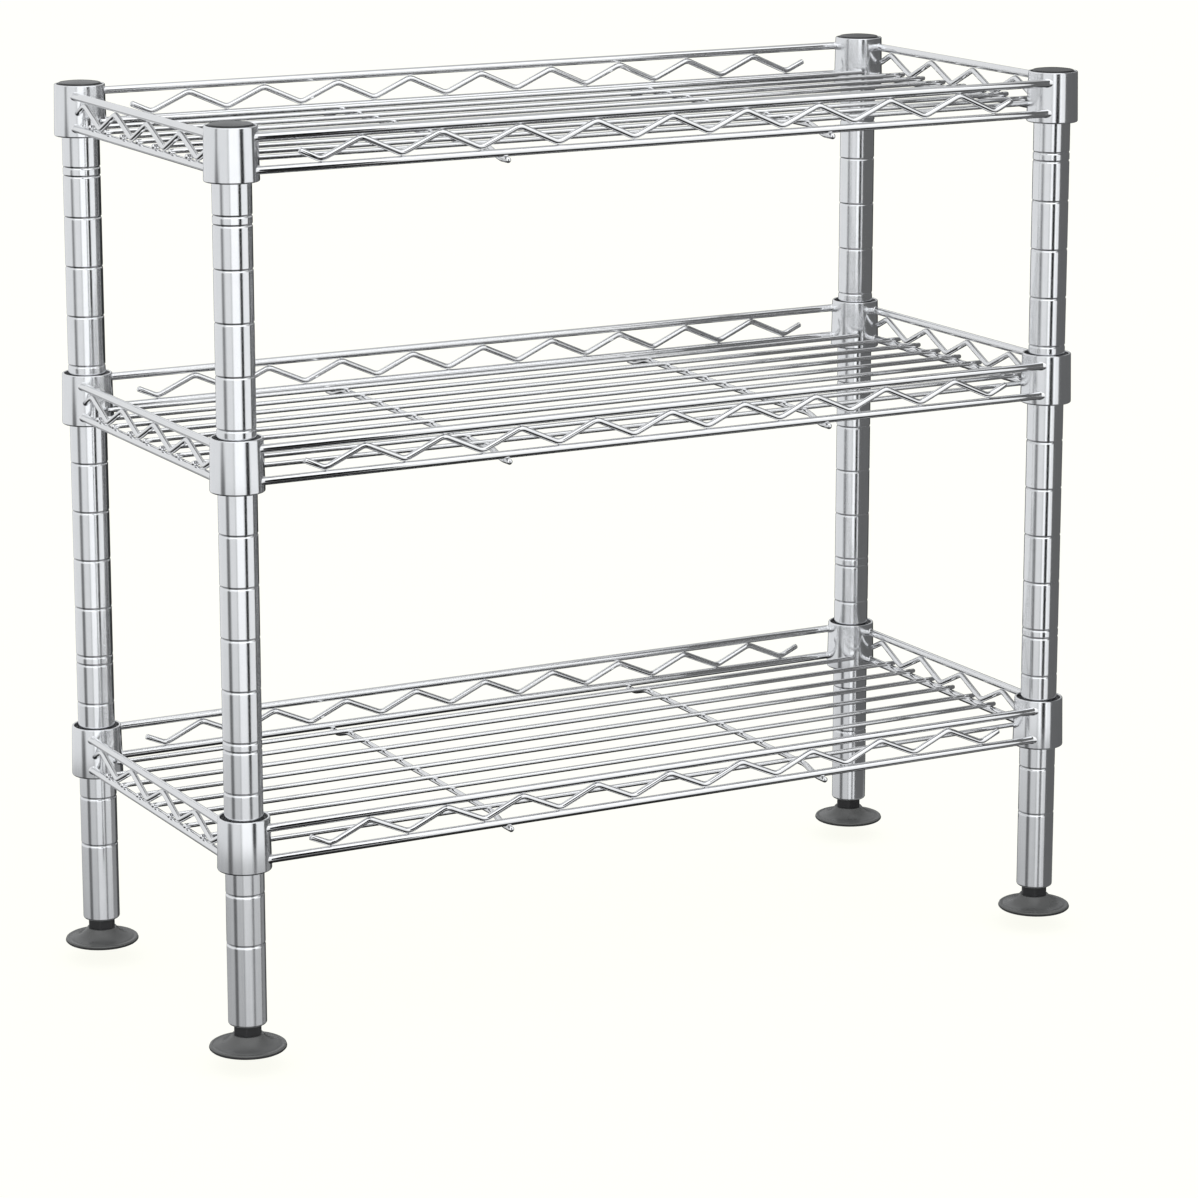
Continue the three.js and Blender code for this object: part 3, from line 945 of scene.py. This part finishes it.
rows = DECK_PITCH * (np.arange(DECK_COUNT) - (DECK_COUNT - 1) / 2)
for level in LEVELS:
    surfaces = [deck_wire(y, RIM[level]) for y in rows]
    surfaces += [cross_wire(x, RIM[level]) for x in (-CROSS_X, CROSS_X)]
    weld_height = RIM[level] - CROSS_HIGH + BRACE_RADIUS
    welds = [[x, y, weld_height] for x in (-CROSS_X, CROSS_X) for y in rows]
    surfaces.append(beads(welds, DECK_BEAD))
    piece(f"{level}_wire_deck", surfaces, wire_chrome, "chrome", f"{level}_shelf", f"{level}_deck")
print("deck faces:", made["top_wire_deck"], "all faces:", sum(made.values()))

# %% [markdown]
# ## Camera
# The camera looks down a little from the front left through a long lens, so that the posts stay nearly
# parallel.

# %% Camera
AZIMUTH = 28.66
PITCH_DOWN = 12.44
EYE = np.array([-1.004, -1.865, 0.696])
LENS = 125.1
camera = bpy.data.objects.new("camera", bpy.data.cameras.new("camera"))
scene.collection.objects.link(camera)
camera.data.lens = LENS
camera.data.sensor_width = 36
camera.data.shift_y = -0.08
camera.location = EYE
camera.rotation_euler = (math.radians(90 - PITCH_DOWN), 0, math.radians(-AZIMUTH))
camera.data.clip_end = 100
scene.camera = camera
print("camera at", EYE, "lens", LENS)

# %% [markdown]
# ## Soft light all round
# Chrome shows its surroundings, so they matter more than any lamp. The surroundings are soft white screens,
# some greyer than others and with narrow darker gaps between them, because bright metal only shows edges
# where its reflections change. Below the horizon they darken to a dim ground, which gives each wire a dark
# underside. All of it is worked out from the direction of a reflected ray, and the camera itself sees plain
# white.

# %% Studio surroundings
TO_RIGHT = np.array([math.cos(math.radians(AZIMUTH)), -math.sin(math.radians(AZIMUTH)), 0.0])
TO_CAMERA = np.array([-math.sin(math.radians(AZIMUTH)), -math.cos(math.radians(AZIMUTH)), 0.0])
# Each screen: from and to this many degrees round from the camera towards its right, from and to this many
# degrees above the horizon, how soft its edges are, and how bright it is.
SCREENS = (
    (-180, -64, -90, 90, 3.0, 0.80),
    (-61, -55, -35, 35, 6.0, 0.34),
    (-50, -12, -35, 35, 4.0, 0.82),
    (-10, -5, -35, 35, 3.0, 0.66),
    (0, 34, -35, 35, 4.0, 1.15),
    (-62, -52, -35, -14, 11.0, 0.16),
    (38, 104, -35, 20, 4.0, 0.95),
    (104, 178, -70, 14, 3.0, 0.03),
    (100, 180, 14, 60, 12.0, 0.50),
    (-180, -160, -60, 3, 4.0, 0.12),
)
OPEN_WHITE = 1.25
SCREEN_TINT = (0.97, 0.985, 1.0, 1.0)
SEEN_WHITE = (1.0, 1.0, 0.965, 1.0)
# Below the horizon everything fades, first to a veil over the screens and then to dark ground.
VEIL_FROM, VEIL_TO = -15.2, -17.4
VEIL_KEEPS, VEIL_ADDS = 0.43, 0.06
GROUND_FROM, GROUND_TO = -24.0, -31.0
GROUND_KEEPS = 0.05


def ramp_between(tree, value, start, end):
    """0 below start and 1 above end, smoothly, as a socket."""
    node = tree.nodes.new("ShaderNodeMapRange")
    node.interpolation_type = "SMOOTHSTEP"
    tree.links.new(value, node.inputs["Value"])
    node.inputs["From Min"].default_value = start
    node.inputs["From Max"].default_value = end
    return node.outputs["Result"]


def window(tree, value, low, high, soft):
    """1 between low and high, falling to 0 over soft at either side."""
    rise = ramp_between(tree, value, low - soft, low)
    fall = ramp_between(tree, value, high, high + soft)
    return math_node(tree, "MULTIPLY", rise, math_node(tree, "SUBTRACT", 1.0, fall))


def studio():
    """A world whose brightness depends on direction, and that the camera itself sees as plain white."""
    world = bpy.data.worlds.new("studio")
    world.use_nodes = True
    tree = world.node_tree
    direction = tree.nodes.new("ShaderNodeTexCoord").outputs["Generated"]

    def part_along(axis):
        node = tree.nodes.new("ShaderNodeVectorMath")
        node.operation = "DOT_PRODUCT"
        node.inputs[1].default_value = axis
        tree.links.new(direction, node.inputs[0])
        return node.outputs["Value"]

    to_degrees = 180 / math.pi
    round_angle = math_node(tree, "ARCTAN2", part_along(TO_RIGHT), part_along(TO_CAMERA))
    round_angle = math_node(tree, "MULTIPLY", round_angle, to_degrees)
    height = math_node(tree, "ARCSINE", part_along((0, 0, 1)), 0.0)
    height = math_node(tree, "MULTIPLY", height, to_degrees)
    bright = OPEN_WHITE
    for left, right, low, high, soft, value in SCREENS:
        across = window(tree, round_angle, left, right, soft)
        upward = window(tree, height, low, high, soft)
        inside = math_node(tree, "MULTIPLY", across, upward)
        mix = tree.nodes.new("ShaderNodeMix")
        tree.links.new(inside, mix.inputs["Factor"])
        if isinstance(bright, float):
            mix.inputs["A"].default_value = bright
        else:
            tree.links.new(bright, mix.inputs["A"])
        mix.inputs["B"].default_value = value
        bright = mix.outputs["Result"]
    veil = math_node(tree, "SUBTRACT", 1.0, ramp_between(tree, height, VEIL_TO, VEIL_FROM))
    keeps = math_node(tree, "SUBTRACT", 1.0, math_node(tree, "MULTIPLY", veil, 1 - VEIL_KEEPS))
    bright = math_node(tree, "MULTIPLY", bright, keeps)
    bright = math_node(tree, "ADD", bright, math_node(tree, "MULTIPLY", veil, VEIL_ADDS))
    above = ramp_between(tree, height, GROUND_TO, GROUND_FROM)
    above = math_node(tree, "ADD", math_node(tree, "MULTIPLY", above, 1 - GROUND_KEEPS), GROUND_KEEPS)
    bright = math_node(tree, "MULTIPLY", bright, above)
    background = tree.nodes["Background"]
    tree.links.new(bright, background.inputs["Strength"])
    background.inputs["Color"].default_value = SCREEN_TINT
    plain = tree.nodes.new("ShaderNodeBackground")
    plain.inputs["Strength"].default_value = 1.0
    plain.inputs["Color"].default_value = SEEN_WHITE
    seen = tree.nodes.new("ShaderNodeLightPath").outputs["Is Camera Ray"]
    pick = tree.nodes.new("ShaderNodeMixShader")
    tree.links.new(seen, pick.inputs["Fac"])
    tree.links.new(background.outputs[0], pick.inputs[1])
    tree.links.new(plain.outputs[0], pick.inputs[2])
    tree.links.new(pick.outputs[0], tree.nodes["World Output"].inputs["Surface"])
    return world


scene.world = studio()
scene.view_settings.view_transform = "Standard"
print("studio screens:", len(SCREENS))

# %% [markdown]
# ## Floor
# The floor is a plain pale disc that glows a little, so it meets the white behind it with no visible edge.
# It lies where the feet reach when they are screwed right out, so no pose drives a foot through it. Its
# underside is clear, so that the rack can be seen from below, and reflections leave it out, because the
# surroundings have a ground of their own.

# %% Floor
FLOOR_RADIUS = 12000.0
FLOOR_SIDES = 64
FLOOR_GAP = 0.05
FLOOR_SHADE = (0.12, 0.12, 0.12, 1.0)
FLOOR_GLOW = (1.0, 1.0, 0.93, 1.0)
GLOW_STRENGTH = 0.93
travels = [joint["range_m"][1] for joint in frame["joints"] if joint["name"].endswith("_travel")]
FLOOR_HEIGHT = -max(travels) / MM - FLOOR_GAP


def stage_piece(name, points, faces, material):
    """A piece of the studio, which is not part of the rack."""
    mesh = bpy.data.meshes.new(name)
    mesh.from_pydata((np.asarray(points) * MM).tolist(), [], faces)
    mesh.materials.append(material)
    thing = bpy.data.objects.new(name, mesh)
    scene.collection.objects.link(thing)
    return thing


pale = bpy.data.materials.new("pale_floor")
pale.use_nodes = True
pale_shader = pale.node_tree.nodes["Principled BSDF"]
pale_shader.inputs["Base Color"].default_value = FLOOR_SHADE
pale_shader.inputs["Roughness"].default_value = 0.9
pale_shader.inputs["Specular IOR Level"].default_value = 0.0
pale_shader.inputs["Emission Color"].default_value = FLOOR_GLOW
pale_shader.inputs["Emission Strength"].default_value = GLOW_STRENGTH
below = pale.node_tree.nodes.new("ShaderNodeNewGeometry").outputs["Backfacing"]
clear = pale.node_tree.nodes.new("ShaderNodeBsdfTransparent")
one_sided = pale.node_tree.nodes.new("ShaderNodeMixShader")
pale.node_tree.links.new(below, one_sided.inputs["Fac"])
pale.node_tree.links.new(pale_shader.outputs[0], one_sided.inputs[1])
pale.node_tree.links.new(clear.outputs[0], one_sided.inputs[2])
pale.node_tree.links.new(one_sided.outputs[0], pale.node_tree.nodes["Material Output"].inputs["Surface"])
disc = around((0, 0), FLOOR_RADIUS, full_turn(FLOOR_SIDES), FLOOR_HEIGHT)
floor = stage_piece("floor", disc, [list(range(FLOOR_SIDES))], pale)
floor.visible_glossy = False
print("floor at", round(FLOOR_HEIGHT, 2), "mm")

# %% [markdown]
# ## Dark cards
# A reflection of far surroundings looks the same on every post. Cards that stand near the rack are
# reflected at a different place in each post, which gives the four posts their own dark lines. Only
# reflections see the cards, so they throw no shadow and never show.

# %% Dark cards
# Each card: its corners as (to the right, towards the camera, height) in millimetres, and its brightness.
CARDS = {
    "side_card": (((332, 40, -70), (470, -560, -70), (470, -560, 620), (332, 40, 620)), 0.13),
    "side_card_foot": (((332, 40, -400), (470, -560, -400), (470, -560, -70), (332, 40, -70)), 0.26),
    "black_flag_foot": (((421, 788, -500), (579, 682, -500), (579, 682, -120), (421, 788, -120)), 0.24),
    "black_flag": (((393, 807, -120), (607, 663, -120), (607, 663, 700), (393, 807, 700)), 0.01),
}

for name, (corners, value) in CARDS.items():
    glow = bpy.data.materials.new(name)
    glow.use_nodes = True
    glow_shader = glow.node_tree.nodes["Principled BSDF"]
    glow_shader.inputs["Base Color"].default_value = (0.0, 0.0, 0.0, 1.0)
    glow_shader.inputs["Specular IOR Level"].default_value = 0.0
    glow_shader.inputs["Emission Color"].default_value = SCREEN_TINT
    glow_shader.inputs["Emission Strength"].default_value = value
    right, near, height = np.array(corners, float).T[..., None]
    outline = right * TO_RIGHT + near * TO_CAMERA + height * UP
    sheet = stage_piece(name, outline, [[0, 1, 2, 3]], glow)
    sheet.visible_camera = sheet.visible_diffuse = sheet.visible_shadow = sheet.visible_transmission = False
